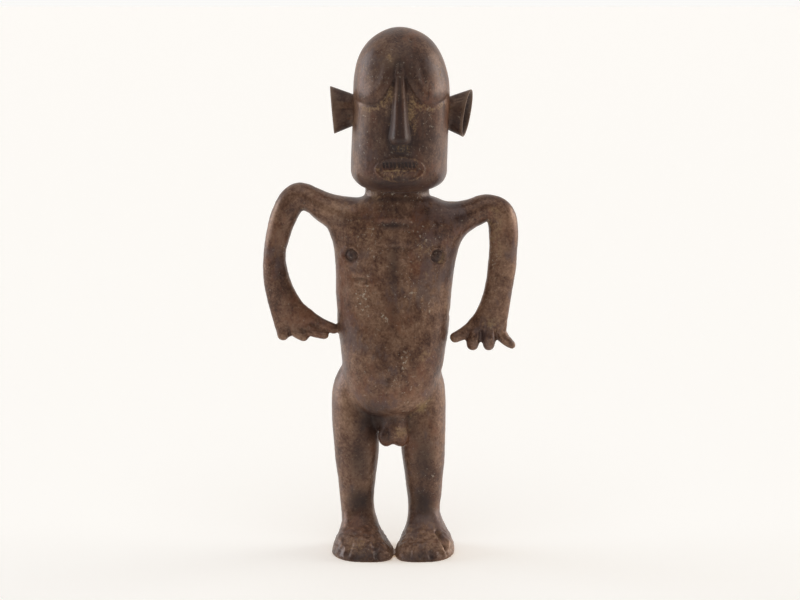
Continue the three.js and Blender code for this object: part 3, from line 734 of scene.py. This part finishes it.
blend = cloud * 0.3 + mottle * 0.28 + streak * 0.14 + grain * 0.28
tone = tinted(UMBER_DEEP, UMBER, between(blend, 0.37, 0.54))
tone = tinted(tone, UMBER_LIGHT, between(blend, 0.46, 0.66) * 0.85)
tone = tinted(tone, RUSSET, between(red + (streak - 0.5) * 0.6, 0.5, 0.7) * 0.5)
tone = tinted(tone, SLATE, between(cool + (streak - 0.5) * 0.6, 0.52, 0.68) * 0.6)
tone = tinted(tone, UMBER_LIGHT, between(ridge + (grain - 0.5) * 0.9, 0.35, 0.95) * 0.6)
clayed = between(clay + hollow * 0.3 + (mottle - 0.5) * 1.4 + (grain - 0.5) * 1.3, 0.4, 1.05)
tone = tinted(tone, OCHRE, clayed * 0.85)
# This darkening is painted shade in the mesh's hollows and in the dark dabs, mixed with some real grime.
shade_and_dirt = between(grime_and_shade + hollow * 0.3 + (mottle - 0.5) * 0.3 + (grain - 0.5) * 0.3 - clayed * 0.6, 0.1, 1.1)
tone = tinted(tone, SHADE_AND_SOOT, shade_and_dirt * 0.85)
crumbs = noise(moved(place, (0.2, 0.6, 0.9)), 1.6, 3, 0.7)
speck = between(crumbs + chalk * 0.09, 0.62, 0.71)
tone = tinted(tone, PALE, speck * (chalk * 0.6 + 0.2))

Field.tree.links.new(tone.socket, shader.inputs["Base Color"])
gloss = 0.38 + (mottle - 0.5) * 0.4 + clayed * 0.3 + shade_and_dirt * 0.16 - ridge * 0.06
Field.tree.links.new(gloss.socket, shader.inputs["Roughness"])
metal = between(0.32 - clayed * 0.3 - shade_and_dirt * 0.15, 0.0, 1.0)
Field.tree.links.new(metal.socket, shader.inputs["Metallic"])
height = mottle * 0.4 + streak * 0.2 + grain * 0.3 + speck * 0.15 + clayed * 0.1
bumped = Field.node("ShaderNodeBump", {}, {"Strength": 0.6, "Distance": 0.0004, "Height": height})
Field.tree.links.new(bumped.socket, shader.inputs["Normal"])
shader.inputs["Specular IOR Level"].default_value = 0.35

figure.data.materials.clear()
figure.data.materials.append(bronze)
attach(figure, "root")
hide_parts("figure")


# Studio
# The camera stands a metre off, eight degrees up. The floor is pale paper, and two tall soft boxes and a wide
# one overhead light the figure from its sides, so that its middle stays dark.

TARGET = Vector((0.00455, 0.00173, 0.121))
DISTANCE, RISE, FOCAL_PIXELS = 1.0, np.radians(8.0), 2100
camera = bpy.data.objects.new("camera", bpy.data.cameras.new("camera"))
bpy.context.collection.objects.link(camera)
camera.data.lens = FOCAL_PIXELS / 800 * 36
camera.data.sensor_width = 36
toward = Vector((0, -float(np.cos(RISE)), float(np.sin(RISE))))
camera.location = TARGET + toward * DISTANCE
camera.rotation_euler = toward.to_track_quat("Z", "Y").to_euler()
bpy.context.scene.camera = camera

floor = object_of("floor", [(-9e4, -3000, 0), (9e4, -3000, 0), (9e4, 4e5, 0), (-9e4, 4e5, 0)], [(0, 1, 2, 3)])
paper = bpy.data.materials.new("floor_paper")
paper.use_nodes = True
sheet = paper.node_tree.nodes["Principled BSDF"]
sheet.inputs["Base Color"].default_value = (0.70, 0.79, 0.86, 1)
sheet.inputs["Roughness"].default_value = 0.8
sheet.inputs["Specular IOR Level"].default_value = 0.1
sheet.inputs["Emission Color"].default_value = (1.0, 0.72, 0.48, 1)
sheet.inputs["Emission Strength"].default_value = 0.35
floor.data.materials.append(paper)

world = bpy.data.worlds.new("studio")
world.use_nodes = True
bpy.context.scene.world = world
Field.tree = world.node_tree
way = Field.node("ShaderNodeSeparateXYZ", {}, {0: Field.node("ShaderNodeTexCoord", out=0)}, 1)
seen = Field.node("ShaderNodeLightPath")
walls = between(way, -0.5, 0.6) * 0.75 + 0.06
backdrop = world.node_tree.nodes["Background"]
backdrop.inputs["Color"].default_value = (0.966, 0.956, 0.94, 1)
Field.tree.links.new((walls + seen * (1 - walls)).socket, backdrop.inputs["Strength"])


def soft_sun(name, way, spread, power, colour):
    """A broad even light from one side, as a large soft box far off gives."""
    lamp = bpy.data.lights.new(name, "SUN")
    lamp.angle, lamp.energy, lamp.color = np.radians(spread), power, colour
    box = bpy.data.objects.new(name, lamp)
    bpy.context.collection.objects.link(box)
    box.rotation_euler = Vector(way).to_track_quat("Z", "Y").to_euler()


soft_sun("side_right", (-1.0, 0.25, 0.18), 45, 1.8, (0.9, 0.95, 1.0))
soft_sun("side_left", (1.0, 0.25, 0.18), 45, 2.1, (1.0, 0.95, 0.88))
soft_sun("overhead", (0, -0.5, 1.0), 60, 0.95, (1.0, 0.98, 0.95))

bpy.context.scene.view_settings.view_transform = "Standard"
